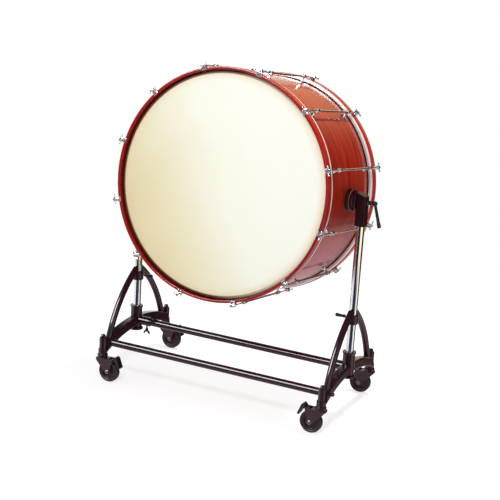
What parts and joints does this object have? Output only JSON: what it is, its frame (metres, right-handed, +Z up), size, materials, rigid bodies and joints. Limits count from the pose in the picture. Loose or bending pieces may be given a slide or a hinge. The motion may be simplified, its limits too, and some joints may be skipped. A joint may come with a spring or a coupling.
{
  "type": "bass drum",
  "caption": "Concert bass drum with T-handled tension rods, tilting on trunnions between two height posts of a stand on braked swivel casters.",
  "frame": {"origin": "on the floor, below the middle of the drum", "axes": "+Z up, +X along the trunnion axis to the right as seen from the front, -Y towards the front head"},
  "size_m": [1.2134, 0.6876, 1.4192],
  "materials": {
    "shell_lacquer": "high-gloss lacquer",
    "hoop_lacquer": "high-gloss lacquer",
    "bare_maple": "sealed",
    "head_film": "satin",
    "flesh_aluminium": "polished",
    "chrome": "polished",
    "dark_steel": "gloss",
    "stand_paint": "gloss",
    "black_plastic": "satin",
    "fibre": "matte",
    "tyre_rubber": "satin"
  },
  "bodies": {
    "root": {"post_hubs": "stand_paint", "apex_collars": "stand_paint", "collar_bushes": "black_plastic", "upper_arches": "stand_paint", "lower_arches": "stand_paint", "centre_crossbar": "stand_paint", "front_crossbar": "stand_paint", "crossbar_bolts": "dark_steel", "corner_posts": "stand_paint", "corner_caps": "stand_paint", "caster_sockets": "stand_paint"},
    "drum": {"shell": "shell_lacquer", "reinforcing_rings": "bare_maple", "front_head": "head_film", "rear_head": "head_film", "front_flesh_hoop": "flesh_aluminium", "rear_flesh_hoop": "flesh_aluminium", "front_hoop": "hoop_lacquer", "rear_hoop": "hoop_lacquer", "lug_posts": "chrome", "lug_tubes": "chrome", "lug_screws": "chrome", "claws": "chrome", "tension_rods": "chrome", "trunnions": "dark_steel", "backing_plates": "dark_steel", "trunnion_bolts": "dark_steel", "friction_washers": "fibre"},
    "left_post_body": {"left_post": "chrome", "left_post_head": "dark_steel", "left_friction_disc": "dark_steel"},
    "left_tilt_lever_body": {"left_tilt_lever": "black_plastic"},
    "left_collar_screw_body": {"left_collar_screw": "black_plastic"},
    "left_crossbar_screw_body": {"left_crossbar_screw": "black_plastic"},
    "right_post_body": {"right_post": "chrome", "right_post_head": "dark_steel", "right_friction_disc": "dark_steel"},
    "right_tilt_lever_body": {"right_tilt_lever": "black_plastic"},
    "right_collar_screw_body": {"right_collar_screw": "black_plastic"},
    "right_crossbar_screw_body": {"right_crossbar_screw": "black_plastic"},
    "front_left_caster_swivel_body": {"front_left_caster_fork": "stand_paint", "front_left_caster_axle": "chrome"},
    "front_left_caster_wheel_body": {"front_left_caster_wheel_hub": "black_plastic", "front_left_caster_tyre": "tyre_rubber"},
    "front_left_caster_brake_body": {"front_left_caster_brake_pedal": "black_plastic"},
    "front_right_caster_swivel_body": {"front_right_caster_fork": "stand_paint", "front_right_caster_axle": "chrome"},
    "front_right_caster_wheel_body": {"front_right_caster_wheel_hub": "black_plastic", "front_right_caster_tyre": "tyre_rubber"},
    "front_right_caster_brake_body": {"front_right_caster_brake_pedal": "black_plastic"},
    "rear_left_caster_swivel_body": {"rear_left_caster_fork": "stand_paint", "rear_left_caster_axle": "chrome"},
    "rear_left_caster_wheel_body": {"rear_left_caster_wheel_hub": "black_plastic", "rear_left_caster_tyre": "tyre_rubber"},
    "rear_left_caster_brake_body": {"rear_left_caster_brake_pedal": "black_plastic"},
    "rear_right_caster_swivel_body": {"rear_right_caster_fork": "stand_paint", "rear_right_caster_axle": "chrome"},
    "rear_right_caster_wheel_body": {"rear_right_caster_wheel_hub": "black_plastic", "rear_right_caster_tyre": "tyre_rubber"},
    "rear_right_caster_brake_body": {"rear_right_caster_brake_pedal": "black_plastic"}
  },
  "joints": [
    {"name": "left_post_slide", "type": "slide", "parent": "root", "child": "left_post_body", "axis": [0, 0, 1], "range_m": [0, 0.075]},
    {"name": "right_post_slide", "type": "slide", "parent": "root", "child": "right_post_body", "axis": [0, 0, 1], "range_m": [0, 0.075]},
    {"name": "drum_tilt", "type": "hinge", "parent": "left_post_body", "child": "drum", "pos_m": [0, 0, 0.912], "axis": [1, 0, 0], "range_deg": [-83.35, 96.65]},
    {"name": "left_tilt_lever_turn", "type": "hinge", "parent": "left_post_body", "child": "left_tilt_lever_body", "pos_m": [-0.519, 0, 0.912], "axis": [-1, 0, 0], "range_deg": [0, 90]},
    {"name": "left_collar_screw_turn", "type": "hinge", "parent": "root", "child": "left_collar_screw_body", "pos_m": [-0.519, 0, 0.421], "axis": [1, 0, 0], "range_deg": [0, 180]},
    {"name": "left_crossbar_screw_turn", "type": "hinge", "parent": "root", "child": "left_crossbar_screw_body", "pos_m": [-0.461, 0, 0.17], "axis": [0, 0, -1], "range_deg": [0, 180]},
    {"name": "right_tilt_lever_turn", "type": "hinge", "parent": "right_post_body", "child": "right_tilt_lever_body", "pos_m": [0.519, 0, 0.912], "axis": [1, 0, 0], "range_deg": [0, 90]},
    {"name": "right_collar_screw_turn", "type": "hinge", "parent": "root", "child": "right_collar_screw_body", "pos_m": [0.519, 0, 0.421], "axis": [-1, 0, 0], "range_deg": [0, 180]},
    {"name": "right_crossbar_screw_turn", "type": "hinge", "parent": "root", "child": "right_crossbar_screw_body", "pos_m": [0.461, 0, 0.17], "axis": [0, 0, -1], "range_deg": [0, 180]},
    {"name": "front_left_caster_swivel", "type": "hinge", "parent": "root", "child": "front_left_caster_swivel_body", "pos_m": [-0.519, -0.27, 0.105], "axis": [0, 0, 1], "continuous": true},
    {"name": "front_left_caster_roll", "type": "hinge", "parent": "front_left_caster_swivel_body", "child": "front_left_caster_wheel_body", "pos_m": [-0.482, -0.27, 0.0475], "axis": [0, 1, 0], "continuous": true},
    {"name": "front_left_caster_brake", "type": "hinge", "parent": "front_left_caster_swivel_body", "child": "front_left_caster_brake_body", "pos_m": [-0.466, -0.27, 0.097], "axis": [0, 1, 0], "range_deg": [0, 8]},
    {"name": "front_right_caster_swivel", "type": "hinge", "parent": "root", "child": "front_right_caster_swivel_body", "pos_m": [0.519, -0.27, 0.105], "axis": [0, 0, 1], "continuous": true},
    {"name": "front_right_caster_roll", "type": "hinge", "parent": "front_right_caster_swivel_body", "child": "front_right_caster_wheel_body", "pos_m": [0.482, -0.27, 0.0475], "axis": [0, 1, 0], "continuous": true},
    {"name": "front_right_caster_brake", "type": "hinge", "parent": "front_right_caster_swivel_body", "child": "front_right_caster_brake_body", "pos_m": [0.466, -0.27, 0.097], "axis": [0, -1, 0], "range_deg": [0, 8]},
    {"name": "rear_left_caster_swivel", "type": "hinge", "parent": "root", "child": "rear_left_caster_swivel_body", "pos_m": [-0.519, 0.27, 0.105], "axis": [0, 0, 1], "continuous": true},
    {"name": "rear_left_caster_roll", "type": "hinge", "parent": "rear_left_caster_swivel_body", "child": "rear_left_caster_wheel_body", "pos_m": [-0.482, 0.27, 0.0475], "axis": [0, 1, 0], "continuous": true},
    {"name": "rear_left_caster_brake", "type": "hinge", "parent": "rear_left_caster_swivel_body", "child": "rear_left_caster_brake_body", "pos_m": [-0.466, 0.27, 0.097], "axis": [0, 1, 0], "range_deg": [0, 8]},
    {"name": "rear_right_caster_swivel", "type": "hinge", "parent": "root", "child": "rear_right_caster_swivel_body", "pos_m": [0.519, 0.27, 0.105], "axis": [0, 0, 1], "continuous": true},
    {"name": "rear_right_caster_roll", "type": "hinge", "parent": "rear_right_caster_swivel_body", "child": "rear_right_caster_wheel_body", "pos_m": [0.482, 0.27, 0.0475], "axis": [0, 1, 0], "continuous": true},
    {"name": "rear_right_caster_brake", "type": "hinge", "parent": "rear_right_caster_swivel_body", "child": "rear_right_caster_brake_body", "pos_m": [0.466, 0.27, 0.097], "axis": [0, -1, 0], "range_deg": [0, 8]}
  ],
  "couplings": [
    {"joint": "right_post_slide", "follows": "left_post_slide", "ratio": 1}
  ]
}
